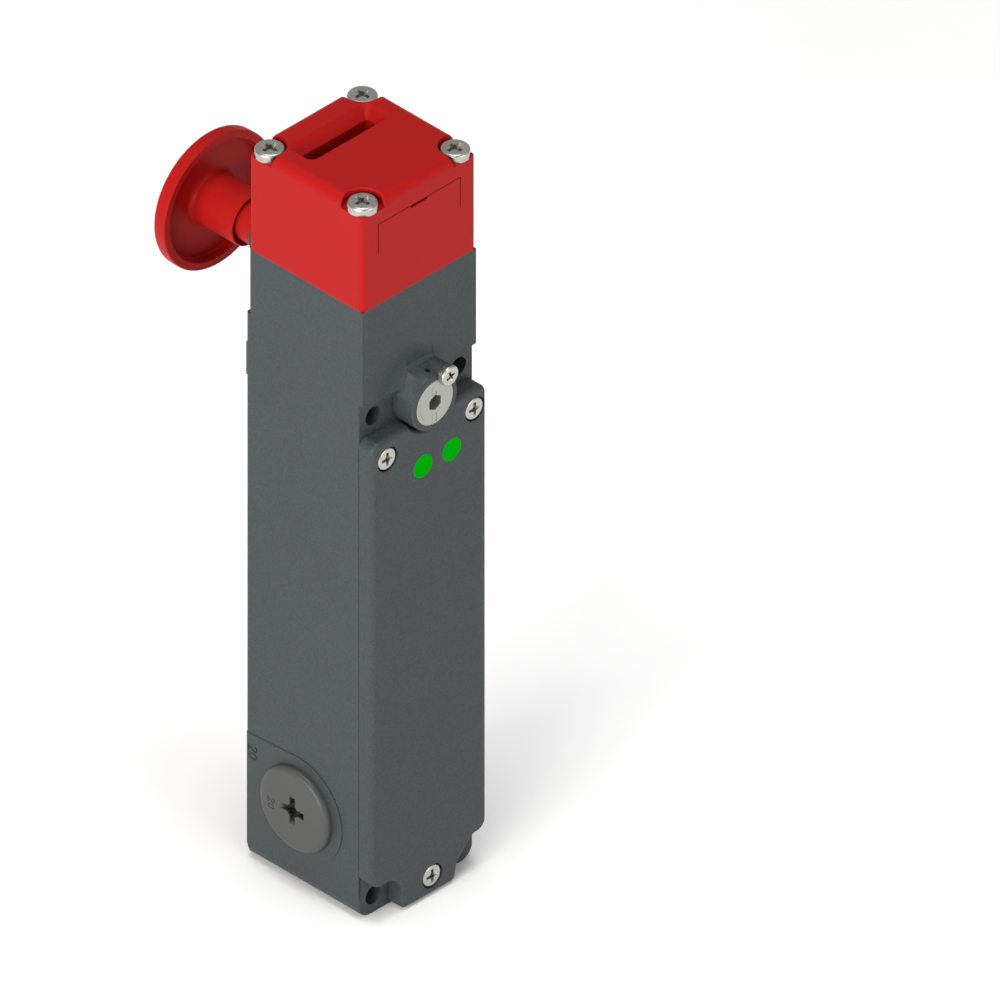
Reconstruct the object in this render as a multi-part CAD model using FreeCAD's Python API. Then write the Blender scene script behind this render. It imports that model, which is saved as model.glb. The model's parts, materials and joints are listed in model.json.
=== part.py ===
import FreeCAD, Part
import math
import os

# Guard locking switch: slim die-cast housing with a front cover, a red head that takes the key,
# a release spindle in front, a mushroom escape button behind, and the locking mechanism inside.
# Millimetres. X = Y = 0 on the head's axis, Z = 0 on the housing's flat underside.
# The cover faces -Y, the mushroom button stands out at +Y.

# ---------------------------------------------------------------- driving dimensions
W = 20.0                    # half width of housing and head
Z_HEAD = 185.5              # seam between housing and head
Z_TOP = 217.1               # top of the head
Y_FRONT = -20.0             # front face of the upper housing and of the head
Y_SEAT = -18.75             # cover seat plane of the lower housing
Z_STEP = 156.6              # where the front face steps back to the seat plane
Y_BACK = 20.0               # back face, upper part
Y_BACK2 = 21.0              # back face, lower part
Y_PAD = 21.3                # fixing pads on the back
Z_BACK = 165.75             # where the back face steps
WALL = 3.0                  # wall of the housing

FIX_X = 15.0                # fixing holes, half spacing
FIX_ZU, FIX_ZL = 151.4, 5.4
FIX_R = 2.65

BOSS_Z = 151.3              # release spindle axis
BOSS_R = 8.0
Y_BOSS = -25.5
DISC_R = 6.4
SPINDLE_R = 4.0
PEG_OFF, PEG_R = 3.0, 1.5   # cam peg of the spindle
BLK_X, BLK_Z = 3.7, 158.35  # blocking screw

COVER_Y = -23.75
COVER_TOP = 146.45
CS = [(-14.8, 140.4), (15.9, 140.4), (0.95, 5.65)]   # cover screws
LED = [(-2.4, 132.2), (7.7, 132.2)]
LED_R = 3.2

HS = 16.25                  # head screws, half spacing
HS_SEAT = 213.95
HC, HC_R = 17.05, 5.45       # screw recesses, a little further out than the screws
SLOT_X, SLOT_Y0, SLOT_Y1 = 11.3, 6.5, 9.8
SLOT_CH = 2.85
PANEL_X, PANEL_Z0, PANEL_Z1 = 14.4, 199.55, 209.95
FSLOT_Z0, FSLOT_Z1 = 203.1, 206.4

WH_Z = 196.6                # cam wheel axis (along X)
WH_R = 10.3
AXLE_R = 2.0
WH_TURN = 50.0              # key stroke of the cam wheel, degrees
ROD_X, ROD_R = -8.0, 1.5    # push rod
ROD_T = 3.5                 # push rod travel
CAM_R0 = 6.5
LOCK_T = 3.5                # lock slider travel

ESC_Z = 174.7               # escape button axis (along Y)
ESC_T = 4.5                 # escape button travel
ESC_R = 5.65
KNOB_R = 19.25

PLUG_Y, PLUG_Z = 2.4, 24.0  # conduit entries in the sides
PLUG_R = 12.05
PLUG_T = 2.15                # how far the plug stands out
ENTRY_R = 10.1
SIDE_PAD = 0.2
FIT = 0.05                  # running clearance, radial

V = FreeCAD.Vector


def box(x0, x1, y0, y1, z0, z1):
    return Part.makeBox(x1 - x0, y1 - y0, z1 - z0, V(x0, y0, z0))


def cx(y, z, r, x0, x1):
    return Part.makeCylinder(r, x1 - x0, V(x0, y, z), V(1, 0, 0))


def cy(x, z, r, y0, y1):
    return Part.makeCylinder(r, y1 - y0, V(x, y0, z), V(0, 1, 0))


def cz(x, y, r, z0, z1):
    return Part.makeCylinder(r, z1 - z0, V(x, y, z0), V(0, 0, 1))


def cone_y(x, z, r0, r1, y0, y1):
    return Part.makeCone(r0, r1, y1 - y0, V(x, y0, z), V(0, 1, 0))


def fuse(first, *rest):
    out = first
    for s in rest:
        out = out.fuse(s)
    return out.removeSplitter()


def cut(first, *rest):
    out = first
    for s in rest:
        out = out.cut(s)
    return out


def common(first, *rest):
    out = first
    for s in rest:
        out = out.common(s)
    return out


def fillet(shape, r, want):
    es = [e for e in shape.Edges if want(e.BoundBox)]
    if not es:
        print("no edges to round, radius", r)
        return shape
    try:
        out = shape.makeFillet(r, es)
        if out.isValid() and out.Volume > 0:
            return out
    except Exception as err:
        print("rounding of radius", r, "not made:", err)
    return shape


def near(a, b, tol=0.01):
    return abs(a - b) < tol


def prism_y(points, y0, y1):
    # closed polygon in X-Z, extruded along Y
    pts = [V(x, y0, z) for x, z in points]
    w = Part.makePolygon(pts + [pts[0]])
    return Part.Face(w).extrude(V(0, y1 - y0, 0))


def prism_x(points, x0, x1):
    pts = [V(x0, y, z) for y, z in points]
    w = Part.makePolygon(pts + [pts[0]])
    return Part.Face(w).extrude(V(x1 - x0, 0, 0))


def rounded_rect(x0, x1, y0, y1, r, z):
    s = math.sqrt(0.5) * r
    e = []

    def arc(c, a, m, b):
        e.append(Part.Arc(V(*a, z), V(*m, z), V(*b, z)).toShape())

    def line(a, b):
        e.append(Part.LineSegment(V(*a, z), V(*b, z)).toShape())

    line((x0 + r, y0), (x1 - r, y0))
    arc(None, (x1 - r, y0), (x1 - r + s, y0 + r - s), (x1, y0 + r))
    line((x1, y0 + r), (x1, y1 - r))
    arc(None, (x1, y1 - r), (x1 - r + s, y1 - r + s), (x1 - r, y1))
    line((x1 - r, y1), (x0 + r, y1))
    arc(None, (x0 + r, y1), (x0 + r - s, y1 - r + s), (x0, y1 - r))
    line((x0, y1 - r), (x0, y0 + r))
    arc(None, (x0, y0 + r), (x0 + r - s, y0 + r - s), (x0 + r, y0))
    return Part.Wire(e)


def revolve_y(profile, z_axis):
    # profile: list of (r, y) corner points, turned about the line x = 0, z = z_axis
    pts = [V(r, y, z_axis) for r, y in profile]
    w = Part.makePolygon(pts + [pts[0]])
    return Part.Face(w).revolve(V(0, 0, z_axis), V(0, 1, 0), 360)


def cross(size, wide, depth, point, axis, turn=0.0):
    # cross recess: two tapered arms meeting in a point, opening at the point against the axis
    arms = []
    for a in (0, 90):
        p0 = [V(-size / 2, -wide / 2, 0), V(size / 2, -wide / 2, 0),
              V(size / 2, wide / 2, 0), V(-size / 2, wide / 2, 0)]
        k = 0.42
        p1 = [V(q.x * k, q.y * 0.75, -depth) for q in p0]
        w0 = Part.makePolygon(p0 + [p0[0]])
        w1 = Part.makePolygon(p1 + [p1[0]])
        s = Part.makeLoft([w0, w1], True, True)
        s.rotate(V(0, 0, 0), V(0, 0, 1), a + turn)
        arms.append(s)
    s = arms[0].fuse(arms[1])
    s = s.fuse(Part.makeBox(size * 0.36, size * 0.36, depth * 0.8,
                            V(-size * 0.18, -size * 0.18, -depth * 0.8)))
    rot = FreeCAD.Rotation(V(0, 0, 1), V(*axis))
    s.Placement = FreeCAD.Placement(V(*point), rot)
    return s


def pan_screw(head_r, head_h, shank_r, length, under, axis, recess, turn=0.0):
    # pan head screw; under = point below the head, axis = the way the head looks out
    h = Part.makeCylinder(head_r, head_h)
    top = [e for e in h.Edges if near(e.BoundBox.ZMin, head_h) and near(e.BoundBox.ZMax, head_h)
           and e.BoundBox.XLength > head_r]
    try:
        h = h.makeFillet(head_r * 0.2, top)
    except Exception as err:
        print("screw head left square:", err)
    s = h.fuse(Part.makeCylinder(shank_r, length, V(0, 0, -length)))
    s = s.removeSplitter()
    s = s.cut(cross(recess, recess * 0.23, head_h * 0.85, (0, 0, head_h + 0.001), (0, 0, 1), turn))
    rot = FreeCAD.Rotation(V(0, 0, 1), V(*axis))
    s.Placement = FreeCAD.Placement(V(*under), rot)
    return s


def spring_z(x, y, r, wire, z0, z1, turns, per_turn=14, sides=6):
    # compression spring: round wire drawn as a six-sided section that follows the helix
    n = int(round(turns * per_turn))
    rings = []
    for i in range(n + 1):
        a = 2 * math.pi * i / per_turn
        z = z0 + wire + (z1 - z0 - 2 * wire) * i / n
        ring = []
        for j in range(sides):
            b = 2 * math.pi * j / sides
            rr = r + wire * math.cos(b)
            ring.append(V(x + rr * math.cos(a), y + rr * math.sin(a), z + wire * math.sin(b)))
        rings.append(ring)
    faces = []

    def tri(p, q, t):
        faces.append(Part.Face(Part.makePolygon([p, q, t, p])))
    for i in range(n):
        for j in range(sides):
            k = (j + 1) % sides
            p, q, t, u = rings[i][j], rings[i][k], rings[i + 1][k], rings[i + 1][j]
            tri(p, q, t)
            tri(p, t, u)
    for end in (rings[0], rings[-1]):
        for j in range(1, sides - 1):
            tri(end[0], end[j], end[j + 1])
    solid = Part.makeSolid(Part.makeShell(faces))
    if solid.Volume < 0:
        solid.reverse()
    return solid


def digits_x(y, z, height, x0, x1, side):
    # the plain numerals "20", read with the head turned to the left, drawn in strokes on a plane x = const
    k = height / 3.4
    w = 0.36 * k

    def place(u, v):
        # u along the reading direction (down), v up the letters
        return (y + side * v * k, z - u * k)

    def stroke(points):
        out = None
        for (a, b) in zip(points[:-1], points[1:]):
            (ya, za), (yb, zb) = place(*a), place(*b)
            n = math.hypot(yb - ya, zb - za)
            ty, tz = (zb - za) / n * w / 2, -(yb - ya) / n * w / 2
            seg = prism_x([(ya + ty, za + tz), (yb + ty, zb + tz), (yb - ty, zb - tz), (ya - ty, za - tz)],
                          x0, x1)
            seg = seg.fuse(cx(ya, za, w / 2, x0, x1)).fuse(cx(yb, zb, w / 2, x0, x1))
            out = seg if out is None else out.fuse(seg)
        return out
    two = stroke([(-2.2, 0.9), (-1.9, 1.5), (-1.3, 1.7), (-0.7, 1.45), (-0.5, 0.8), (-0.9, 0.1),
                  (-2.2, -1.7), (-0.4, -1.7)])
    zero = stroke([(0.5, 0.0), (0.6, 1.1), (1.35, 1.7), (2.1, 1.1), (2.2, 0.0), (2.1, -1.1), (1.35, -1.7),
                   (0.6, -1.1), (0.5, 0.0)])
    return two.fuse(zero)


parts = {}

# ---------------------------------------------------------------- housing
outer = fuse(
    box(-W, W, Y_FRONT, Y_BACK, Z_STEP, Z_HEAD),
    box(-W, W, Y_SEAT, Y_BACK, 0, Z_STEP + 1),
    box(-W, W, Y_BACK - 1, Y_BACK2, 0, Z_BACK))
outer = fillet(outer, 4.0, lambda b: near(b.ZMin, 0) and near(b.ZMax, 0) and b.YLength > 30)
outer = fillet(outer, 1.4, lambda b: near(b.YMin, Y_FRONT) and near(b.YMax, Y_FRONT)
               and near(b.ZMax, Z_HEAD) and b.ZLength > 20)
outer = fillet(outer, 0.9, lambda b: near(b.YMin, Y_BACK2) and near(b.YMax, Y_BACK2)
               and b.ZLength > 100)
outer = fillet(outer, 0.9, lambda b: near(b.YMin, Y_BACK) and near(b.YMax, Y_BACK)
               and near(b.ZMax, Z_HEAD) and b.ZLength > 15)
outer = fillet(outer, 0.35, lambda b: near(b.YMin, Y_SEAT) and near(b.YMax, Y_SEAT)
               and (b.ZMax < 5 or b.ZLength > 100))
for z in (FIX_ZU, FIX_ZL):
    for s in (-1, 1):
        x0, x1 = sorted((s * 10.0, s * (19.6 if z > 50 else 18.4)))
        outer = outer.fuse(box(x0, x1, Y_BACK2 - 0.5, Y_PAD, max(z - 5.0, 0.6), z + 5.0))

# release boss: round in front, with a flat top and sloped shoulders where it leaves the face
def polar(r, deg):
    return (r * math.cos(math.radians(deg)), r * math.sin(math.radians(deg)))


def boss_wire(points, y):
    # six sides: five across the top from right to left, then the round lower half
    e = []
    n = len(points)
    for i in range(n - 1):
        (x0, z0), mid, (x1, z1) = points[i][0], points[i][1], points[i + 1][0]
        a, c = V(x0, y, BOSS_Z + z0), V(x1, y, BOSS_Z + z1)
        if mid is None:
            e.append(Part.LineSegment(a, c).toShape())
        else:
            e.append(Part.Arc(a, V(mid[0], y, BOSS_Z + mid[1]), c).toShape())
    (x0, z0), (x1, z1) = points[-1][0], points[0][0]
    e.append(Part.Arc(V(x0, y, BOSS_Z + z0), V(0, y, BOSS_Z - BOSS_R), V(x1, y, BOSS_Z + z1)).toShape())
    return Part.Wire(e)


shoulder = [((BOSS_R, 0), None), ((8.1, 3.6), None), ((4.75, 9.4), None), ((-4.75, 9.4), None),
            ((-8.1, 3.6), None), ((-BOSS_R, 0), None)]
angles = [0.0, 24.0, 63.2, 116.8, 156.0, 180.0]
rim_pts = [(polar(BOSS_R, angles[i]),
            polar(BOSS_R, (angles[i] + angles[i + 1]) / 2) if i < 5 else None) for i in range(6)]
boss = fuse(Part.makeLoft([boss_wire(shoulder, Y_FRONT), boss_wire(rim_pts, Y_BOSS + 0.35)], True, True),
            Part.Face(boss_wire(shoulder, Y_FRONT)).extrude(V(0, 5, 0)),
            cone_y(0, BOSS_Z, BOSS_R - 0.3, BOSS_R, Y_BOSS, Y_BOSS + 0.35))
mound_pts = [(0.0, Y_FRONT + 0.5), (14.4, Y_FRONT + 0.5)]
for i in range(9):
    th = math.radians(25.2 * i / 8)
    mound_pts.append((14.4 - 13.6 * math.sin(th), Y_FRONT - 13.6 * (1 - math.cos(th))))
mound_pts.append((0.0, mound_pts[-1][1]))
mound = common(revolve_y(mound_pts, BOSS_Z), box(-16, 16, -22, -19, Z_STEP, 170))
mound = cut(mound, box(-4.75, 4.75, -23, Y_FRONT, 160.7, 170))
mound = fuse(mound, prism_x([(Y_FRONT + 0.3, 162.3), (Y_FRONT, 161.9), (Y_FRONT - 0.75, 160.6),
                             (Y_FRONT + 0.3, 160.6)], -4.75, 4.75))
for s in (-1, 1):
    mound = mound.fuse(prism_y([(s * 18.6, Z_STEP), (s * 12.6, 155.7), (s * 7.0, 154.3), (s * 7.0, 157.5),
                                (s * 18.6, 157.5)], Y_FRONT, -18.0))
lug = cy(BLK_X, BLK_Z, 2.5, Y_BOSS, -19)
outer = fuse(outer, boss, mound, lug)

# raised pads round the conduit entries
for s in (-1, 1):
    x0, x1 = (-W - SIDE_PAD, -W + 1.2) if s < 0 else (W - 1.2, W + SIDE_PAD)
    pad = fuse(cx(PLUG_Y, PLUG_Z - 0.1, 15.3, x0, x1),
               prism_x([(PLUG_Y, PLUG_Z + 15.2), (Y_BACK2, 38.0), (Y_BACK2, 4.2), (-0.83, 8.95)], x0, x1))
    pad = fillet(pad, 0.9, lambda b: near(b.YMin, Y_BACK2) and near(b.YMax, Y_BACK2) and b.ZLength > 30
                 and near(b.XMax if s < 0 else b.XMin, -W - SIDE_PAD if s < 0 else W + SIDE_PAD))
    outer = outer.fuse(pad)
outer = outer.removeSplitter()
for s in (-1, 1):
    x0, x1 = (-W - 1, -W + 0.1) if s < 0 else (W - 0.1, W + 1)
    outer = outer.cut(digits_x(18.4, 32.8, 2.9, x0, x1, s))

# inside: lower chamber open to the front, upper chamber open to the head
chamber = fuse(box(-W + WALL, W - WALL, Y_SEAT - 1, Y_BACK2 - WALL, 17.0, 134.6),
               box(-W + WALL, W - WALL, -10.0, Y_BACK2 - WALL, 11.0, 20.0),
               box(-14.5, 14.5, 5.5, Y_BACK2 - WALL, 130.0, 145.0))
upper = fuse(box(-12, 12, -16.5, 16.5, 157.0, Z_HEAD + 1),
             box(-16.5, 16.5, -12, 12, 157.0, Z_HEAD + 1))
channel = fuse(box(-9.9, 6.6, -2.9, 2.9, 145.0, 157.5), box(-11.0, 10.5, -2.9, 2.9, 134.0, 145.3))
housing = cut(outer, chamber, upper, channel)
posts = [
    box(-8, 8, 9.0, 18.5, 56.0, 90.0),               # solenoid seat
    box(-13, -4, 9.0, 18.5, 106.0, 128.0),           # contact block seats
    box(4, 13, 9.0, 18.5, 106.0, 128.0),
    box(-12, 12, 8.0, 18.5, 37.0, 47.0),             # terminal block seat
    cy(0, 20.0, 4.5, 13.0, 18.5),                    # earth screw boss
    box(-17.5, -14.0, -9.5, 14.3, 12.1, 35.9),       # thickened walls at the entries
    box(14.0, 17.5, -9.5, 14.3, 12.1, 35.9),
]
housing = fuse(housing, *posts)
bores = [
    cy(0, BOSS_Z, DISC_R + FIT, Y_BOSS - 1, -23.85),
    cy(0, BOSS_Z, SPINDLE_R + FIT, -24, -2.8),
    cy(BLK_X, BLK_Z, 1.3, Y_BOSS - 1, -19.5),
    cy(0, ESC_Z, 6.95, 16.0, 21.0),
    Part.makeCylinder(0.75, 6, V(0, -22.9, 156.5), V(0, 0, 1)),   # sealing wire hole
    cy(0, 20.0, 1.7, 12.0, 18.6),
]
for x in (-FIX_X, FIX_X):
    for z in (FIX_ZU, FIX_ZL):
        bores.append(cy(x, z, FIX_R, -22, 23))
for x, z in CS:
    bores.append(cy(x, z, 1.7, -20, -8.0))
for x in (-HS, HS):
    for y in (-HS, HS):
        bores.append(cz(x, y, 1.7, 173.0, Z_HEAD + 1))
for s in (-1, 1):
    x0, x1 = sorted((s * 13.0, s * 22.0))
    bores.append(cx(PLUG_Y, PLUG_Z, ENTRY_R, x0, x1))
housing = cut(housing, *bores)
parts["housing"] = housing

# ---------------------------------------------------------------- cover
def cover_outline(y):
    # front view, counter-clockwise from the lower left of the tab; the lower right bite is the shallower one
    pt = lambda x, z: V(x, y, z)
    e = []

    def line(a, b):
        e.append(Part.LineSegment(pt(*a), pt(*b)).toShape())

    def arc(a, m, b):
        e.append(Part.Arc(pt(*a), pt(*m), pt(*b)).toShape())
    k = math.sqrt(0.5)
    r, rt = 3.2, 2.7
    line((-8.2, 0.3), (7.6, 0.3))
    arc((7.6, 0.3), (8.75, 0.8), (9.3, 1.9))
    line((9.3, 1.9), (10.1, 5.1))
    arc((10.1, 5.1), (12.2, 7.75), (14.6, 10.1))
    arc((14.6, 10.1), (15.6, 10.7), (16.8, 10.9))
    arc((16.8, 10.9), (16.8 + r * k, 10.9 + r - r * k), (W, 10.9 + r))
    line((W, 10.9 + r), (W, COVER_TOP - rt))
    arc((W, COVER_TOP - rt), (W - rt + rt * k, COVER_TOP - rt + rt * k), (W - rt, COVER_TOP))
    line((W - rt, COVER_TOP), (-W + rt, COVER_TOP))
    arc((-W + rt, COVER_TOP), (-W + rt - rt * k, COVER_TOP - rt + rt * k), (-W, COVER_TOP - rt))
    line((-W, COVER_TOP - rt), (-W, 11.0 + r))
    arc((-W, 11.0 + r), (-W + r - r * k, 11.0 + r - r * k), (-W + r, 11.0))
    line((-W + r, 11.0), (-15.0, 11.0))
    arc((-15.0, 11.0), (-15.0 + 5.6 * k, 5.4 + 5.6 * k), (-9.4, 5.4))
    line((-9.4, 5.4), (-9.4, 1.5))
    arc((-9.4, 1.5), (-9.4 + 1.2 * (1 - k), 0.3 + 1.2 * (1 - k)), (-8.2, 0.3))
    return Part.Wire(e)


cov = Part.Face(cover_outline(COVER_Y)).extrude(V(0, Y_SEAT - COVER_Y, 0))
cov = cut(cov, cy(0, BOSS_Z, 8.7, COVER_Y - 1, Y_SEAT + 1))
cov = fillet(cov, 1.25, lambda b: near(b.YMin, COVER_Y) and near(b.YMax, COVER_Y))
inner = box(-16.4, 16.4, COVER_Y + 2.4, Y_SEAT + 1, 16.8, 134.6)
cov = cut(cov, inner)
gk_o = box(-18.7, 18.7, Y_SEAT - 1.2, Y_SEAT, 14.4, 137.0)
gk_i = box(-17.3, 17.3, Y_SEAT - 2, Y_SEAT + 1, 15.8, 135.6)
gasket = cut(gk_o, gk_i)
for x, z in CS:
    cov = cut(cov, cy(x, z, 3.5, COVER_Y - 1, COVER_Y + 2.3), cy(x, z, 2.2, COVER_Y, Y_SEAT + 1))
for x, z in LED:
    cov = cut(cov, cy(x, z, LED_R + 0.03, COVER_Y - 1, -17))
parts["cover_gasket"] = gasket
parts["cover"] = cut(cov, gk_o.cut(gk_i))
parts["cover_screws"] = Part.makeCompound([
    pan_screw(3.2, 2.1, 1.65, 13.0, (x, COVER_Y + 2.25, z), (0, -1, 0), 3.9) for x, z in CS])
parts["led_lenses"] = Part.makeCompound([
    fuse(cy(x, z, LED_R, COVER_Y, Y_SEAT - 0.15),
         common(cy(x, z, 4.2, COVER_Y + 2.45, COVER_Y + 3.7), box(-20, 20, -24, -18, 120, 134.5)))
    for x, z in LED])
parts["led_board"] = cut(box(-8.5, 12.5, -17.9, -16.3, 124.0, 134.4),
                         cy(-6.8, 126.0, 0.8, -19, -15), cy(10.8, 126.0, 0.8, -19, -15))

# ---------------------------------------------------------------- head
def top_section(along_x):
    # rounded section built from true arcs
    a, r = W, 3.0
    k = math.sqrt(0.5)

    def P(u, z):
        return V(-W, u, z) if along_x else V(u, -W, z)
    e = [Part.LineSegment(P(-a, Z_HEAD), P(a, Z_HEAD)).toShape(),
         Part.LineSegment(P(a, Z_HEAD), P(a, Z_TOP - r)).toShape(),
         Part.Arc(P(a, Z_TOP - r), P(a - r + r * k, Z_TOP - r + r * k), P(a - r, Z_TOP)).toShape(),
         Part.LineSegment(P(a - r, Z_TOP), P(-a + r, Z_TOP)).toShape(),
         Part.Arc(P(-a + r, Z_TOP), P(-a + r - r * k, Z_TOP - r + r * k), P(-a, Z_TOP - r)).toShape(),
         Part.LineSegment(P(-a, Z_TOP - r), P(-a, Z_HEAD)).toShape()]
    f = Part.Face(Part.Wire(e))
    return f.extrude(V(2 * W, 0, 0) if along_x else V(0, 2 * W, 0))


plan = Part.Face(rounded_rect(-W, W, -W, W, 1.4, Z_HEAD)).extrude(V(0, 0, Z_TOP - Z_HEAD))
head = common(top_section(True), top_section(False), plan)
for sx in (-1, 1):
    for sy in (-1, 1):
        c = cz(sx * HC, sy * HC, HC_R, HS_SEAT, Z_TOP + 1)
        x0, x1 = sorted((sx * HC, sx * 21.0))
        y0, y1 = sorted((sy * HC, sy * 21.0))
        head = cut(head, fuse(c, box(x0, x1, y0, y1, HS_SEAT, Z_TOP + 1)))
head = fillet(head, 0.35, lambda b: near(b.ZMin, Z_TOP) and near(b.ZMax, Z_TOP)
              and 4 < b.XLength < 11 and 4 < b.YLength < 11)
slot_top = Part.makeLoft([
    rounded_rect(-SLOT_X, SLOT_X, SLOT_Y0, SLOT_Y1, 0.7, Z_TOP - SLOT_CH),
    rounded_rect(-SLOT_X - SLOT_CH, SLOT_X + SLOT_CH, SLOT_Y0 - SLOT_CH, SLOT_Y1 + SLOT_CH, 2.2,
                 Z_TOP)], True, True)
slot_cap = Part.Face(rounded_rect(-SLOT_X - SLOT_CH, SLOT_X + SLOT_CH, SLOT_Y0 - SLOT_CH,
                                  SLOT_Y1 + SLOT_CH, 2.2, Z_TOP)).extrude(V(0, 0, 1))
slot_hole = Part.Face(rounded_rect(-SLOT_X, SLOT_X, SLOT_Y0, SLOT_Y1, 0.7, 205.0)).extrude(V(0, 0, 10))
head = cut(head,
           slot_top, slot_cap, slot_hole,
           box(-12, 12, -12, 13.5, Z_HEAD - 1, 209.2),                  # wheel chamber
           box(-16.2, 16.2, -AXLE_R - 0.25, AXLE_R + 0.25, Z_HEAD - 1, WH_Z),
           cx(0, WH_Z, AXLE_R + 0.25, -16.2, 16.2),
           box(-PANEL_X - 0.05, PANEL_X + 0.05, Y_FRONT - 1, Y_FRONT + 2.9,
               PANEL_Z0 - 0.05, PANEL_Z1 + 0.05),
           box(-SLOT_X, SLOT_X, Y_FRONT, -11.5, FSLOT_Z0, FSLOT_Z1))
for x in (-HS, HS):
    for y in (-HS, HS):
        head = cut(head, cz(x, y, 2.2, Z_HEAD - 1, Z_TOP))
parts["head"] = head

plug = fuse(prism_y([(-PANEL_X - 0.05, PANEL_Z0 - 0.05), (PANEL_X + 0.05, PANEL_Z0 - 0.05),
                     (PANEL_X - 0.09, PANEL_Z1 - 0.09), (-PANEL_X + 0.09, PANEL_Z1 - 0.09)],
                    Y_FRONT, Y_FRONT + 2.85),
            box(-SLOT_X + 0.1, SLOT_X - 0.1, Y_FRONT + 2.0, -13.0, FSLOT_Z0 + 0.1, FSLOT_Z1 - 0.1))
parts["head_slot_plug"] = cut(plug, box(-3.05, 3.05, Y_FRONT - 1, Y_FRONT + 1.9, PANEL_Z1 - 0.8, 212))
parts["head_screws"] = Part.makeCompound([
    pan_screw(3.92, 2.4, 1.65, 36.0, (x, y, HS_SEAT), (0, 0, 1), 4.6)
    for x in (-HS, HS) for y in (-HS, HS)])

# gasket between head and housing, in its groove, clear of the screws
gask = cut(box(-12.9, 12.9, -18.2, 18.2, Z_HEAD - 0.9, Z_HEAD),
           box(-12.2, 12.2, -16.9, 16.9, Z_HEAD - 2, Z_HEAD + 1))
gask = fuse(gask, cut(box(-18.2, 18.2, -12.9, 12.9, Z_HEAD - 0.9, Z_HEAD),
                      box(-16.9, 16.9, -12.2, 12.2, Z_HEAD - 2, Z_HEAD + 1),
                      box(-12.5, 12.5, -13.5, 13.5, Z_HEAD - 2, Z_HEAD + 1)))
gask = cut(gask, fuse(box(-12.1, 12.1, -16.7, 16.7, Z_HEAD - 2, Z_HEAD + 1),
                      box(-16.7, 16.7, -12.1, 12.1, Z_HEAD - 2, Z_HEAD + 1)))
parts["head_gasket"] = gask
parts["housing"] = cut(parts["housing"], gask)

# ---------------------------------------------------------------- cam wheel and axle
parts["cam_axle"] = cx(0, WH_Z, AXLE_R, -16.0, 16.0)
parts["axle_retainers"] = Part.makeCompound([
    box(-16.0, -12.5, -1.9, 1.9, Z_HEAD + 0.1, WH_Z - AXLE_R - 0.05),
    box(12.5, 16.0, -1.9, 1.9, Z_HEAD + 0.1, WH_Z - AXLE_R - 0.05)])


def at(phi, r):
    # phi from straight down towards +Y
    a = math.radians(phi)
    return (r * math.sin(a), WH_Z - r * math.cos(a))


rim = cx(0, WH_Z, WH_R, -5.4, 11.0)
cam_pts = []
for i in range(0, 26):
    phi = WH_TURN * i / 25.0
    cam_pts.append(at(phi, CAM_R0 + ROD_T * i / 25.0))
cam_pts.append(at(62, CAM_R0 + ROD_T))
cam_pts.append(at(70, CAM_R0))
for phi in range(90, 360, 15):
    cam_pts.append(at(phi, CAM_R0))
cam = prism_x(cam_pts, -11.0, -5.4)
wheel = fuse(rim, cam)
wheel = cut(wheel,
            box(-12, 12, 6.4, 12, WH_Z - 3.0, WH_Z + 12),
            box(-12, 12, -12, 3.0, WH_Z + 6.4, WH_Z + 12),
            cx(0, WH_Z, AXLE_R + FIT, -12, 12))
for phi in (0.0, WH_TURN):
    n = box(-3.1, 3.1, -1.95, 1.95, WH_Z - 12, WH_Z - 6.95)
    n.rotate(V(0, 0, WH_Z), V(1, 0, 0), phi)
    wheel = cut(wheel, n)
parts["cam_wheel"] = wheel

# ---------------------------------------------------------------- push rod and guard contacts
rod_top = WH_Z - CAM_R0 - 0.55
rod = fuse(cz(ROD_X, 0, ROD_R, 108.0, rod_top - ROD_R),
           Part.makeSphere(ROD_R, V(ROD_X, 0, rod_top - ROD_R)),
           cz(ROD_X, 0, 2.6, 139.0, 140.6))
parts["push_rod"] = rod
parts["guard_contact_bridge"] = cut(box(ROD_X - 2.2, ROD_X + 2.2, -6.4, 6.4, 118.0, 119.0),
                                    cz(ROD_X, 0, ROD_R + 0.01, 110, 125))
parts["push_rod_spring"] = spring_z(ROD_X, 0, 2.15, 0.35, 134.4, 138.7, 4.0)


def contact_block(s):
    x0, x1 = sorted((s * 2.8, s * 13.4))
    xr = s * 8.0
    b = box(x0, x1, -9.0, 9.0, 101.0, 134.0)
    b = fillet(b, 0.8, lambda q: q.ZLength > 30)
    b = cut(b, box(xr - 3.4, xr + 3.4, -7.4, 7.4, 105.0, 130.0),
            cz(xr, 0, ROD_R + 0.2, 100.0, 135.0))
    fixed = []
    for sy in (-1, 1):
        y0, y1 = sorted((sy * 3.4, sy * 8.0))
        y2, y3 = sorted((sy * 7.0, sy * 8.0))
        f = fuse(box(xr - 1.6, xr + 1.6, y0, y1, 112.6, 113.6),
                 box(xr - 1.6, xr + 1.6, y2, y3, 106.0, 113.6))
        fixed.append(f)
    fx = Part.makeCompound(fixed)
    b = cut(b, *fixed)
    return b, fx


parts["guard_contact_block"], parts["guard_fixed_contacts"] = contact_block(-1)
parts["lock_contact_block"], parts["lock_fixed_contacts"] = contact_block(1)

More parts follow.
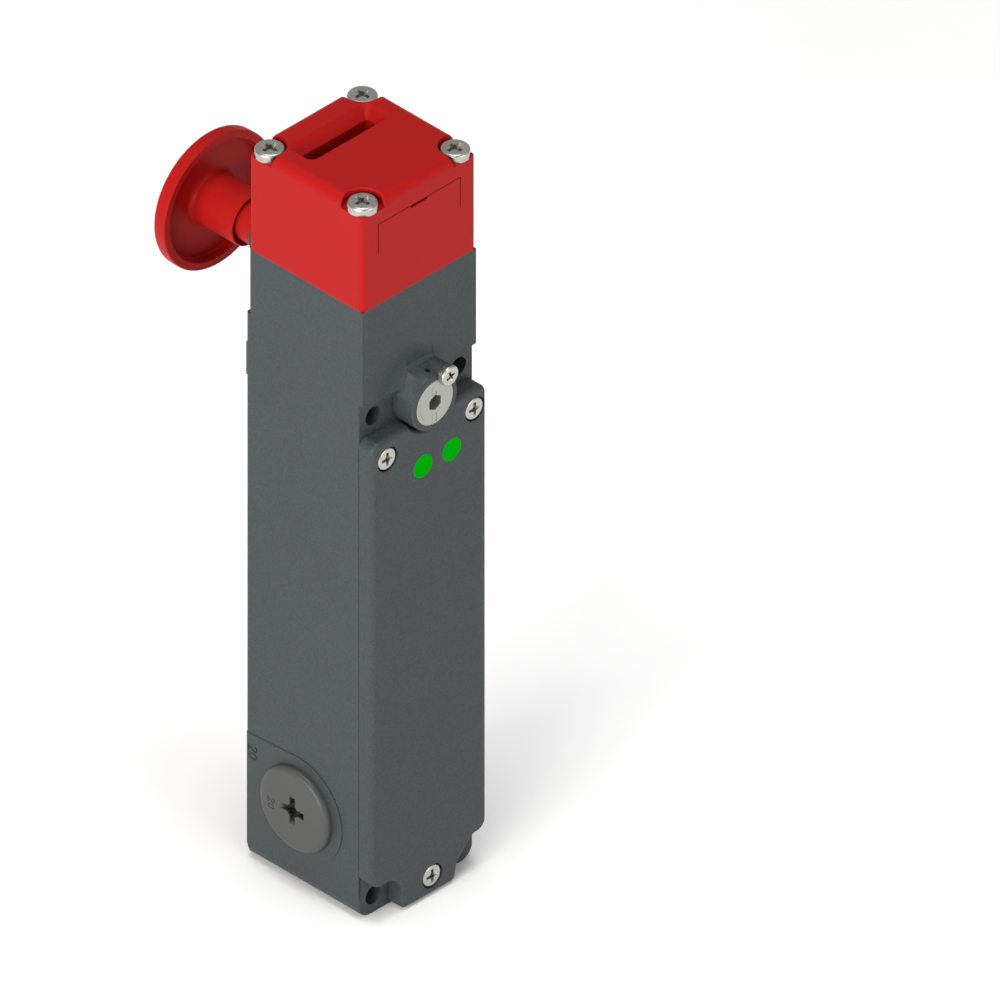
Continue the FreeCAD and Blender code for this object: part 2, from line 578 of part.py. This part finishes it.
# ---------------------------------------------------------------- lock slider, armature and solenoid
slider = fuse(
    box(-6.2, 6.2, -2.0, 2.0, 141.0, 160.5),
    box(-4.0, 4.0, -2.0, 2.0, 160.5, 182.0),
    box(-2.6, 2.6, -1.5, 1.5, 182.0, WH_Z - WH_R - 0.7),
    box(-4.0, 10.0, -2.0, 2.0, 136.6, 141.2),
    cz(0, 0, 1.5, 92.0, 137.0))
slider = cut(slider,
             box(-4.85, 4.85, -3, 3, BOSS_Z - 4.5 - LOCK_T - 0.35, BOSS_Z + 4.5 + 0.35),
             box(-1.9, 1.9, -3, 3, ESC_Z - 1.5 - LOCK_T - 0.35, ESC_Z + 1.85))
parts["lock_slider"] = slider
lrod = cz(8.0, 0, ROD_R, 108.0, 136.6)
parts["lock_contact_rod"] = lrod
parts["lock_contact_bridge"] = cut(box(5.8, 10.2, -6.4, 6.4, 114.4, 115.4),
                                   cz(8.0, 0, ROD_R + 0.01, 100, 125))
parts["armature"] = fuse(cz(0, 0, 5.0, 56.0, 80.0), cz(0, 0, 1.5, 79.0, 92.0))
parts["solenoid_core"] = cut(cz(0, 0, 5.2, 84.0, 95.9), cz(0, 0, 1.8, 80, 100),
                             cz(0, 0, 3.3, 83.0, 91.0))
parts["lock_spring"] = spring_z(0, 0, 2.45, 0.35, 80.3, 90.7, 7.0)
parts["solenoid_bobbin"] = cut(fuse(cz(0, 0, 6.4, 52.1, 93.9), cz(0, 0, 8.9, 52.1, 53.6),
                                    cz(0, 0, 8.9, 92.4, 93.9)), cz(0, 0, 5.3, 50, 96))
parts["solenoid_winding"] = cut(cz(0, 0, 8.7, 53.7, 92.3), cz(0, 0, 6.45, 50, 96))
yoke = cut(box(-11.4, 11.4, -9.0, 9.0, 50.0, 96.0), box(-9.4, 9.4, -10, 10, 52.0, 94.0),
           cz(0, 0, 5.3, 93.0, 97.0))
parts["solenoid_yoke"] = fillet(yoke, 1.2, lambda b: b.YLength > 17 and abs(b.XMin) > 11 and
                                (near(b.ZMin, 50) or near(b.ZMin, 96)))

# ---------------------------------------------------------------- release spindle and blocking screw
spin = fuse(cy(0, BOSS_Z, DISC_R, Y_BOSS - 0.05, -23.95), cy(0, BOSS_Z, SPINDLE_R, -24.2, -2.82),
            cy(0, BOSS_Z + PEG_OFF, PEG_R - 0.02, -2.82, 2.4))
spin = fillet(spin, 0.2, lambda b: near(b.YMin, Y_BOSS - 0.05) and near(b.YMax, Y_BOSS - 0.05))
hexp = [(2.31 * math.cos(math.radians(60 * i + 30)), BOSS_Z + 2.31 * math.sin(math.radians(60 * i + 30)))
        for i in range(6)]
spin = cut(spin, prism_y(hexp, Y_BOSS - 1, -21.9),
           cut(cy(0, BOSS_Z, 5, -20.1, -17.9), cy(0, BOSS_Z, 3.0, -21, -17)))
parts["release_spindle"] = spin
parts["release_seal_ring"] = cut(cy(0, BOSS_Z, SPINDLE_R + 0.03, -19.9, -18.1), cy(0, BOSS_Z, 3.06, -21, -17))
parts["release_block_screw"] = pan_screw(2.8, 1.85, 1.25, 5.6, (BLK_X, Y_BOSS - 0.15, BLK_Z),
                                         (0, -1, 0), 3.1, 20.0)

# ---------------------------------------------------------------- escape button
bush = cut(fuse(cy(0, ESC_Z, 6.9, 14.0, 33.4), cy(0, ESC_Z, 8.6, Y_BACK, 22.6)),
           cy(0, ESC_Z, ESC_R + FIT, 13, 35))
bush = fillet(bush, 0.5, lambda b: near(b.YMin, 33.4) and near(b.YMax, 33.4))
parts["escape_bushing"] = bush
shaft = fuse(cy(0, ESC_Z, ESC_R, 11.0, 41.95), cy(0, ESC_Z, 4.0, 38.0, 50.0),
             cy(0, ESC_Z, PEG_R, 3.5, 11.5))
shaft = cut(shaft,
            cut(cy(0, ESC_Z, 7, 12.85, 13.95), cy(0, ESC_Z, 4.7, 12, 15)),
            cut(cy(0, ESC_Z, 7, 25.8, 28.2), cy(0, ESC_Z, 4.4, 25, 29)))
parts["escape_shaft"] = shaft
parts["escape_circlip"] = cut(cy(0, ESC_Z, 7.0, 12.9, 13.9), cy(0, ESC_Z, 4.72, 12, 15),
                              box(-1.2, 1.2, 12, 15, ESC_Z - 8, ESC_Z))
parts["escape_seal_ring"] = cut(cy(0, ESC_Z, ESC_R + 0.03, 26.0, 28.0), cy(0, ESC_Z, 4.42, 25, 29))


def knob_profile():
    p = [(0.0, 55.6)]
    # domed back from the centre to the rim
    for i in range(1, 9):
        r = (KNOB_R - 1.1) * i / 8
        p.append((r, 55.6 - 0.95 * (r / (KNOB_R - 1.1)) ** 2))
    for i in range(1, 6):
        t = math.pi / 2 * i / 5
        p.append((KNOB_R - 1.1 + 1.1 * math.sin(t), 53.55 + 1.1 * math.cos(t)))
    p += [(KNOB_R, 50.85), (KNOB_R - 0.25, 50.55), (17.2, 50.55), (17.0, 50.75)]
    for i in range(0, 4):
        t = math.pi / 2 * i / 3
        p.append((16.5 + 0.5 * math.cos(t), 52.8 + 0.5 * math.sin(t)))
    for i in range(0, 6):
        t = math.pi / 2 * i / 5
        p.append((8.75 - 1.5 * math.sin(t), 51.8 + 1.5 * math.cos(t)))
    p += [(7.25, 39.0), (7.05, 38.75), (6.85, 38.75), (ESC_R + 0.07, 40.3), (ESC_R + 0.07, 42.0),
          (4.05, 42.0), (4.05, 50.1), (0.0, 50.1)]
    return p


parts["escape_knob"] = revolve_y(knob_profile(), ESC_Z)

# ---------------------------------------------------------------- conduit plugs
def conduit_plug(s):
    xf = W + SIDE_PAD
    p = fuse(cx(PLUG_Y, PLUG_Z, PLUG_R, xf, xf + PLUG_T), cx(PLUG_Y, PLUG_Z, ENTRY_R - FIT, 14.5, xf + 0.1))
    p = fillet(p, 1.5, lambda b: near(b.XMin, xf + PLUG_T) and near(b.XMax, xf + PLUG_T))
    p = cut(p, cx(PLUG_Y, PLUG_Z, 8.2, 13.0, 18.4))
    p = cut(p, cut(cx(PLUG_Y, PLUG_Z, 11.4, xf - 1, xf + 0.55), cx(PLUG_Y, PLUG_Z, 10.4, xf - 2, xf + 2),
                   cx(PLUG_Y, PLUG_Z, 30, xf - 3, xf)))
    p = cut(p, cross(8.2, 1.9, 1.9, (xf + PLUG_T + 0.001, PLUG_Y, PLUG_Z), (1, 0, 0)))
    p = cut(p, digits_x(PLUG_Y + 7.3, PLUG_Z - 1.2, 2.3, xf + PLUG_T - 0.2, xf + PLUG_T + 0.4, s))
    ring = cut(cx(PLUG_Y, PLUG_Z, 11.36, xf, xf + 0.5), cx(PLUG_Y, PLUG_Z, 10.44, xf - 1, xf + 2))
    if s < 0:
        p = p.mirror(V(0, 0, 0), V(1, 0, 0))
        ring = ring.mirror(V(0, 0, 0), V(1, 0, 0))
    return p, ring


parts["conduit_plug_left"], ringl = conduit_plug(-1)
parts["conduit_plug_right"], ringr = conduit_plug(1)
parts["conduit_plug_seals"] = Part.makeCompound([ringl, ringr])

# ---------------------------------------------------------------- terminals
tb = box(-13.5, 13.5, -6.0, 8.0, 36.4, 48.0)
tb = fillet(tb, 0.6, lambda b: near(b.YMin, -6.0) and near(b.YMax, -6.0))
TX = [-10.2, -3.4, 3.4, 10.2]
TZ = [39.4, 45.0]
screws = []
for x in TX:
    for z in TZ:
        tb = cut(tb, cy(x, z, 2.1, -7.0, -0.5))
        screws.append(cut(cy(x, z, 1.95, -5.6, -0.8), box(x - 2.5, x + 2.5, -6, -5.0, z - 0.3, z + 0.3)))
for x in TX:
    tb = cut(tb, box(x - 1.6, x + 1.6, 1.0, 4.2, 35.0, 49.0))
parts["terminal_block"] = tb
parts["terminal_screws"] = Part.makeCompound(screws)
parts["earth_screw"] = pan_screw(3.5, 2.2, 1.65, 5.0, (0, 12.95, 20.0), (0, -1, 0), 4.2)

# ---------------------------------------------------------------- export
os.makedirs("parts", exist_ok=True)
for name, shape in parts.items():
    if not shape.isValid():
        print("not valid:", name)
    n = len(shape.Solids)
    if n != 1:
        print("solids in", name, ":", n)
    shape.exportStep("parts/%s.step" % name)
print(len(parts), "nodes")
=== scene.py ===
import json
import math

import bpy
import numpy as np
from mathutils import Matrix, Vector


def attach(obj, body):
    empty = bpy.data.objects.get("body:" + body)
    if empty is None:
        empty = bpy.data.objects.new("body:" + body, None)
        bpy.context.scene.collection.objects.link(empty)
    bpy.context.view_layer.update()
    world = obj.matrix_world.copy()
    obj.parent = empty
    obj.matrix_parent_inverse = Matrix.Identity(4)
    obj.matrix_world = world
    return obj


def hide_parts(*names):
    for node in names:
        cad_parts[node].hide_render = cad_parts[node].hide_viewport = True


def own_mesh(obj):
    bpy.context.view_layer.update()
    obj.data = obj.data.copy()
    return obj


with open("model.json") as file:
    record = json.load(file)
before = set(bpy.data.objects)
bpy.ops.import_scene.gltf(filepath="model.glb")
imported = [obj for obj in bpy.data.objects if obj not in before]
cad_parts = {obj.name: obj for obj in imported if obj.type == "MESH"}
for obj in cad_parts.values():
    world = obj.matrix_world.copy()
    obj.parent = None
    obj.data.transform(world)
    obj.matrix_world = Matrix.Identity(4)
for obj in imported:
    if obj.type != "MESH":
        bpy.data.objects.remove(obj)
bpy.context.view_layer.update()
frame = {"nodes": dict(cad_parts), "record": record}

NODES = frame["nodes"]
MM = 0.001
BOSS = (0.0, 151.3)          # release spindle axis, x and z in mm


# ------------------------------------------------------------------ shading of the carried-over nodes
def shade(obj, angle=32.0):
    me = obj.data
    me.polygons.foreach_set("use_smooth", [True] * len(me.polygons))
    if me.has_custom_normals:
        # the imported model's custom normals are cleared; edges are set by angle
        with bpy.context.temp_override(object=obj, active_object=obj, selected_objects=[obj]):
            bpy.ops.mesh.customdata_custom_splitnormals_clear()
    me.set_sharp_from_angle(angle=math.radians(angle))


# ------------------------------------------------------------------ node helpers
class Tree:
    def __init__(self, name):
        self.mat = bpy.data.materials.new(name)
        self.mat.use_nodes = True
        self.nt = self.mat.node_tree
        self.nt.nodes.clear()
        self.out = self.add("ShaderNodeOutputMaterial")
        self.bsdf = self.add("ShaderNodeBsdfPrincipled")
        self.link(self.bsdf.outputs[0], self.out.inputs[0])
        self.tc = self.add("ShaderNodeTexCoord")
        self.co = self.tc.outputs["Object"]

    def add(self, kind, **props):
        n = self.nt.nodes.new(kind)
        for k, v in props.items():
            setattr(n, k, v)
        return n

    def link(self, a, b):
        self.nt.links.new(a, b)

    def noise(self, size_mm, detail=3.0, rough=0.5, vec=None, distortion=0.0):
        n = self.add("ShaderNodeTexNoise")
        n.inputs["Scale"].default_value = 1000.0 / size_mm
        n.inputs["Detail"].default_value = detail
        n.inputs["Roughness"].default_value = rough
        n.inputs["Distortion"].default_value = distortion
        self.link(vec if vec is not None else self.co, n.inputs["Vector"])
        return n.outputs[0]

    def cells(self, size_mm, feature="F1", vec=None):
        n = self.add("ShaderNodeTexVoronoi", feature=feature)
        n.inputs["Scale"].default_value = 1000.0 / size_mm
        self.link(vec if vec is not None else self.co, n.inputs["Vector"])
        return n.outputs["Distance"]

    def remap(self, value, a, b, c, d, smooth=False):
        n = self.add("ShaderNodeMapRange")
        n.interpolation_type = "SMOOTHSTEP" if smooth else "LINEAR"
        n.clamp = True
        self.link(value, n.inputs["Value"])
        for k, v in zip(("From Min", "From Max", "To Min", "To Max"), (a, b, c, d)):
            n.inputs[k].default_value = v
        return n.outputs["Result"]

    def math(self, op, a, b=None, c=None):
        n = self.add("ShaderNodeMath", operation=op)
        for i, v in enumerate((a, b, c)):
            if v is None:
                continue
            if isinstance(v, (int, float)):
                n.inputs[i].default_value = v
            else:
                self.link(v, n.inputs[i])
        return n.outputs[0]

    def mix(self, fac, a, b):
        n = self.add("ShaderNodeMix", data_type="RGBA")
        if isinstance(fac, (int, float)):
            n.inputs[0].default_value = fac
        else:
            self.link(fac, n.inputs[0])
        for i, v in ((6, a), (7, b)):
            if isinstance(v, (tuple, list)):
                n.inputs[i].default_value = (*v[:3], 1.0)
            else:
                self.link(v, n.inputs[i])
        return n.outputs[2]

    def bump(self, height, strength, distance_mm, normal=None):
        n = self.add("ShaderNodeBump")
        n.inputs["Strength"].default_value = strength
        n.inputs["Distance"].default_value = distance_mm * MM
        self.link(height, n.inputs["Height"])
        if normal is not None:
            self.link(normal, n.inputs["Normal"])
        return n.outputs[0]

    def scaled(self, sx, sy, sz):
        n = self.add("ShaderNodeMapping")
        n.inputs["Scale"].default_value = (sx, sy, sz)
        self.link(self.co, n.inputs["Vector"])
        return n.outputs[0]

    def xyz(self):
        n = self.add("ShaderNodeSeparateXYZ")
        self.link(self.co, n.inputs[0])
        return n.outputs

    def set(self, key, value):
        if isinstance(value, (int, float)):
            self.bsdf.inputs[key].default_value = value
        elif isinstance(value, (tuple, list)):
            self.bsdf.inputs[key].default_value = (*value[:3], 1.0)
        else:
            self.link(value, self.bsdf.inputs[key])


def lin(r, g, b):
    def f(c):
        c /= 255.0
        return c / 12.92 if c <= 0.04045 else ((c + 0.055) / 1.055) ** 2.4
    return (f(r), f(g), f(b))


def scale(c, k):
    return tuple(min(1.0, v * k) for v in c)


def coated(name, base, rough=0.5, grain=0.45, bump=0.35, spread=0.10, spec=0.4, seam_and_painted_shade=None):
    """Powder-coated or moulded surface: fine orange-peel grain, faint speckle, slow tone drift."""
    t = Tree(name)
    fine = t.noise(grain, 2.0, 0.6)
    peel = t.noise(grain * 2.6, 2.0, 0.5)
    drift = t.noise(38.0, 2.0, 0.5)
    speck = t.cells(grain * 1.9)
    tone = t.remap(fine, 0.3, 0.7, 1.0 - spread, 1.0 + spread)
    slow = t.remap(drift, 0.3, 0.7, 0.975, 1.025)
    k = t.math("MULTIPLY", tone, slow)
    dark = t.remap(speck, 0.0, 0.22, 0.90, 1.0)
    k = t.math("MULTIPLY", k, dark)
    col = t.add("ShaderNodeVectorMath", operation="SCALE")
    col.inputs[0].default_value = base
    t.link(k, col.inputs["Scale"])
    # optional mask darkens the colour towards 6 % of the base: dark joint lines, and painted shade in a plug's
    # cross recess
    if seam_and_painted_shade is None:
        t.set("Base Color", col.outputs[0])
    else:
        t.set("Base Color", t.mix(seam_and_painted_shade(t), col.outputs[0], scale(base, 0.06)))
    t.set("Roughness", t.remap(fine, 0.3, 0.7, rough - 0.05, rough + 0.06))
    t.set("Specular IOR Level", spec)
    n = t.bump(peel, bump * 0.8, grain * 0.16)
    n = t.bump(fine, bump, grain * 0.09, n)
    t.set("Normal", n)
    return t.mat


def near(t, v, centre, half, edge):
    d = t.math("ABSOLUTE", t.math("SUBTRACT", v, centre))
    return t.remap(d, half, half + edge, 1.0, 0.0, True)


def side_seam(t):
    """Dark joint between cover and housing on the two side faces."""
    s = t.xyz()
    x = t.math("ABSOLUTE", t.math("MULTIPLY", s[0], 1000.0))
    y = t.math("MULTIPLY", s[1], 1000.0)
    line = t.math("MULTIPLY", near(t, y, -18.75, 0.10, 0.08), t.remap(x, 19.3, 19.5, 0.0, 1.0))
    z = t.math("MULTIPLY", s[2], 1000.0)
    return t.math("MULTIPLY", t.math("MULTIPLY", line, 0.6), near(t, z, 75.0, 68.0, 1.0))


def plug_recess_painted_shade(t):
    """Painted shade: darkens the plug face inside the cross recess, where shade falls."""
    s = t.xyz()
    x = t.math("ABSOLUTE", t.math("MULTIPLY", s[0], 1000.0))
    y = t.math("SUBTRACT", t.math("MULTIPLY", s[1], 1000.0), 2.4)
    z = t.math("SUBTRACT", t.math("MULTIPLY", s[2], 1000.0), 24.0)
    r = t.math("SQRT", t.math("ADD", t.math("MULTIPLY", y, y), t.math("MULTIPLY", z, z)))
    return t.math("MULTIPLY", t.remap(r, 5.0, 5.4, 0.85, 0.0), t.remap(x, 21.6, 22.2, 1.0, 0.0))


def panel_seam(t):
    """Dark joint round the front slot plug: two upright sides and a finer top line, on the front face only."""
    s = t.xyz()
    x = t.math("ABSOLUTE", t.math("MULTIPLY", s[0], 1000.0))
    y = t.math("MULTIPLY", s[1], 1000.0)
    z = t.math("MULTIPLY", s[2], 1000.0)
    side = t.math("MULTIPLY", near(t, x, 14.41, 0.12, 0.06), near(t, z, 205.4, 4.5, 0.1))
    top = t.math("MULTIPLY", near(t, z, 209.92, 0.09, 0.05), near(t, x, 0.0, 14.4, 0.1))
    both = t.math("MAXIMUM", t.math("MULTIPLY", side, 0.9), t.math("MULTIPLY", top, 0.65))
    return t.math("MULTIPLY", both, t.remap(y, -19.6, -19.4, 1.0, 0.0))


def plated(name, base, rough=0.28, streak=(1.0, 1.0, 1.0), grain=0.12, bump=0.12, spread=0.06):
    """Plated or ground metal: fine directional scratches and uneven sheen."""
    t = Tree(name)
    v = t.scaled(*streak)
    scratch = t.noise(grain, 3.0, 0.6, v)
    cloud = t.noise(2.2, 2.0, 0.5)
    k = t.math("MULTIPLY", t.remap(scratch, 0.3, 0.7, 1 - spread, 1 + spread),
               t.remap(cloud, 0.3, 0.7, 0.94, 1.04))
    col = t.add("ShaderNodeVectorMath", operation="SCALE")
    col.inputs[0].default_value = base
    t.link(k, col.inputs["Scale"])
    t.set("Base Color", col.outputs[0])
    t.set("Metallic", 1.0)
    t.set("Roughness", t.remap(cloud, 0.3, 0.7, rough - 0.05, rough + 0.08))
    t.set("Normal", t.bump(scratch, bump, 0.02))
    return t.mat


def disc_material():
    """Turned face of the release spindle: concentric tool marks and an engraved position mark."""
    t = Tree("nickel_disc")
    s = t.xyz()
    x = t.math("MULTIPLY", s[0], 1000.0)
    z = t.math("SUBTRACT", t.math("MULTIPLY", s[2], 1000.0), BOSS[1])
    r = t.math("SQRT", t.math("ADD", t.math("MULTIPLY", x, x), t.math("MULTIPLY", z, z)))
    wob = t.noise(0.9, 2.0, 0.5)
    rr = t.math("ADD", r, t.math("MULTIPLY", wob, 0.05))
    rings = t.math("SINE", t.math("MULTIPLY", rr, 2 * math.pi / 0.19))
    fine = t.noise(0.1, 2.0, 0.6)

    def band(v, centre, half, edge=0.05):
        d = t.math("ABSOLUTE", t.math("SUBTRACT", v, centre))
        return t.remap(d, half, half + edge, 1.0, 0.0, True)
    # thin upright line left of the socket, above and below it
    rows = t.math("MAXIMUM", band(z, 3.8, 1.25), band(z, -4.45, 1.4))
    line = t.math("MULTIPLY", band(x, -1.0, 0.06), rows)
    # short dashes beside it
    rows = band(z, 2.8, 0.42)
    for zz, half in ((-3.6, 0.28), (-4.6, 0.34), (-5.5, 0.26)):
        rows = t.math("MAXIMUM", rows, band(z, zz, half))
    dash = t.math("MULTIPLY", band(x, 0.4, 0.16), rows)
    # faint arc on the left-hand side
    arc = t.math("MULTIPLY", band(r, 5.2, 0.07), t.remap(x, -0.6, -0.2, 1.0, 0.0))
    arc = t.math("MULTIPLY", arc, band(z, -0.9, 2.6, 0.3))
    mark = t.math("MAXIMUM", t.math("MULTIPLY", line, 0.62), t.math("MULTIPLY", dash, 0.85))
    mark = t.math("MAXIMUM", mark, t.math("MULTIPLY", arc, 0.45))
    base = lin(165, 166, 160)
    k = t.math("MULTIPLY", t.remap(rings, -1, 1, 0.93, 1.04), t.remap(fine, 0.3, 0.7, 0.95, 1.04))
    col = t.add("ShaderNodeVectorMath", operation="SCALE")
    col.inputs[0].default_value = base
    t.link(k, col.inputs["Scale"])
    t.set("Base Color", t.mix(mark, col.outputs[0], lin(70, 70, 68)))
    t.set("Metallic", t.remap(mark, 0, 1, 0.9, 0.4))
    t.set("Roughness", t.remap(fine, 0.3, 0.7, 0.34, 0.46))
    n = t.bump(rings, 0.25, 0.012)
    n = t.bump(t.math("SUBTRACT", 1.0, mark), 0.9, 0.12, n)
    t.set("Normal", n)
    return t.mat


def lens_with_painted_glow():
    """Tinted indicator lens: even green with faint inner facets, and a faint painted glow from emission."""
    t = Tree("green_lens")
    facets = t.cells(0.9)
    fine = t.noise(0.5, 2.0, 0.5)
    k = t.math("MULTIPLY", t.remap(facets, 0.0, 0.6, 0.92, 1.05), t.remap(fine, 0.3, 0.7, 0.95, 1.05))
    col = t.add("ShaderNodeVectorMath", operation="SCALE")
    col.inputs[0].default_value = (0.0, 0.25, 0.002)
    t.link(k, col.inputs["Scale"])
    t.set("Base Color", col.outputs[0])
    t.set("Roughness", t.remap(fine, 0.3, 0.7, 0.30, 0.40))
    # painted glow: the lens emits its own green light although it is no lamp
    t.set("Emission Color", col.outputs[0])
    t.set("Emission Strength", 0.25)
    t.set("Specular IOR Level", 0.0)
    t.set("Normal", t.bump(facets, 0.12, 0.03))
    return t.mat


def winding_material():
    t = Tree("copper_winding")
    s = t.xyz()
    turns = t.math("SINE", t.math("MULTIPLY", s[2], 2 * math.pi * 1000 / 0.35))
    fine = t.noise(0.6, 2.0, 0.5)
    t.set("Base Color", t.mix(t.remap(turns, -1, 1, 0, 1), lin(120, 58, 30), lin(205, 120, 72)))
    t.set("Metallic", 0.8)
    t.set("Roughness", t.remap(fine, 0.3, 0.7, 0.3, 0.42))
    t.set("Normal", t.bump(turns, 0.5, 0.1))
    return t.mat


def board_material():
    t = Tree("green_board")
    s = t.xyz()
    weave = t.math("MULTIPLY", t.math("SINE", t.math("MULTIPLY", s[0], 2 * math.pi * 1000 / 0.6)),
                   t.math("SINE", t.math("MULTIPLY", s[2], 2 * math.pi * 1000 / 0.6)))
    tracks = t.noise(3.0, 0.0, 0.5, distortion=1.5)
    t.set("Base Color", t.mix(t.remap(tracks, 0.48, 0.52, 0, 1), lin(12, 84, 40), lin(30, 110, 56)))
    t.set("Roughness", t.remap(weave, -1, 1, 0.28, 0.36))
    t.set("Normal", t.bump(weave, 0.15, 0.02))
    return t.mat


GREY = (0.0375, 0.0448, 0.0472)
MATS = {
    "grey_casting": coated("grey_casting", GREY, 0.43, 0.42, 0.70, 0.24, 0.2, side_seam),
    "grey_cover": coated("grey_cover", GREY, 0.43, 0.42, 0.70, 0.24, 0.2, side_seam),
    "red_head": coated("red_head", (0.325, 0.0058, 0.0050), 0.42, 0.6, 0.16, 0.03, 0.10, panel_seam),
    "red_knob": coated("red_knob", (0.315, 0.0070, 0.0060), 0.42, 0.6, 0.12, 0.03, 0.08),
    "zinc_steel": plated("zinc_steel", lin(182, 181, 174), 0.30, (1, 1, 1)),
    "nickel_disc": disc_material(),
    "bright_steel": plated("bright_steel", lin(190, 192, 194), 0.24, (1, 1, 0.08)),
    "dark_steel": plated("dark_steel", lin(70, 68, 68), 0.38, (1, 0.1, 1)),
    "grey_bushing": coated("grey_bushing", scale(GREY, 0.9), 0.5, 0.5, 0.3, 0.06, 0.2),
    # plug_plastic: its mask paints shade into the plug's cross recess
    "plug_plastic": coated("plug_plastic", (0.0545, 0.0575, 0.0548), 0.38, 0.35, 0.25, 0.05, 0.3, plug_recess_painted_shade),
    "black_rubber": coated("black_rubber", (0.012, 0.012, 0.013), 0.7, 0.5, 0.4, 0.15, 0.25),
    "black_plastic": coated("black_plastic", (0.018, 0.018, 0.020), 0.5, 0.5, 0.3, 0.10),
    "natural_plastic": coated("natural_plastic", (0.62, 0.58, 0.48), 0.45, 0.7, 0.2, 0.04),
    "contact_brass": plated("contact_brass", lin(214, 176, 98), 0.3, (0.15, 1, 1)),
    "copper_winding": winding_material(),
    "green_board": board_material(),
    "green_lens": lens_with_painted_glow(),
}
SLOT_OF = {s["node"]: s["material_slot"] for s in frame["record"]["subparts"]}
for name, obj in NODES.items():
    shade(obj)
    mat = MATS[SLOT_OF[name]]
    obj.data.materials.clear()
    obj.data.materials.append(mat)


# ------------------------------------------------------------------ coil springs copied from the CAD springs, which are hidden
def coil(name, node):
    """A copy of a CAD spring, attached to the switch body; the CAD spring is hidden."""
    src = NODES[node]
    ob = bpy.data.objects.new(name, src.data.copy())
    ob.matrix_world = src.matrix_world.copy()
    bpy.context.scene.collection.objects.link(ob)
    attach(ob, "switch_body")
    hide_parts(node)
    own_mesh(ob)
    return ob


coil("push_rod_coil", "push_rod_spring")
coil("lock_coil", "lock_spring")

# ------------------------------------------------------------------ floor, light, camera
fl = Tree("floor")
soft = fl.noise(120.0, 2.0, 0.5)
fl.set("Base Color", fl.mix(fl.remap(soft, 0.3, 0.7, 0, 1), (0.965, 0.965, 0.965), (0.98, 0.98, 0.98)))
fl.set("Roughness", 0.9)
fl.set("Specular IOR Level", 0.0)
me = bpy.data.meshes.new("floor")
e = 4.0
me.from_pydata([(-e, -e, 0), (e, -e, 0), (e, e, 0), (-e, e, 0)], [], [(0, 1, 2, 3)])
me.materials.append(fl.mat)
floor = bpy.data.objects.new("floor", me)
floor.location = (0, 0, -0.0002)
bpy.context.scene.collection.objects.link(floor)

scene = bpy.context.scene
world = bpy.data.worlds.new("studio")
scene.world = world
world.use_nodes = True
bg = world.node_tree.nodes["Background"]
bg.inputs["Color"].default_value = (1.0, 1.0, 1.0, 1.0)
bg.inputs["Strength"].default_value = 0.45


def area(name, size, power, at, to, color=(1, 1, 1), size_y=None):
    li = bpy.data.lights.new(name, "AREA")
    li.shape = "RECTANGLE" if size_y else "SQUARE"
    li.size = size
    if size_y:
        li.size_y = size_y
    li.energy = power
    li.color = color
    ob = bpy.data.objects.new(name, li)
    ob.location = at
    ob.rotation_mode = "QUATERNION"
    ob.rotation_quaternion = (Vector(to) - Vector(at)).to_track_quat("-Z", "Y")
    scene.collection.objects.link(ob)
    return ob


MID = (0.0, 0.0, 0.11)
area("key_left", 1.4, 47.0, (-1.8, -0.35, 0.45), MID, (1.0, 0.975, 0.94))
area("front_fill", 1.2, 12.0, (0.25, -1.8, 0.4), MID)
area("top_soft", 0.8, 14.0, (-0.1, -0.1, 1.7), MID)

S = 4.02                                   # image pixels per millimetre
cam_data = bpy.data.cameras.new("camera")
cam_data.type = "ORTHO"
cam_data.ortho_scale = 1000.0 / S * MM
cam_data.clip_start = 0.01
cam_data.clip_end = 20.0
cam = bpy.data.objects.new("camera", cam_data)
back = Vector((-1.0, -1.0, 1.0)).normalized()
cam.location = Vector((24.2, -24.2, 108.8)) * MM + back * 1.2
cam.rotation_mode = "QUATERNION"
cam.rotation_quaternion = (-back).to_track_quat("-Z", "Y")
scene.collection.objects.link(cam)
scene.camera = cam

scene.view_settings.view_transform = "Standard"
scene.view_settings.look = "None"
scene.view_settings.exposure = 0.0
scene.view_settings.gamma = 1.0
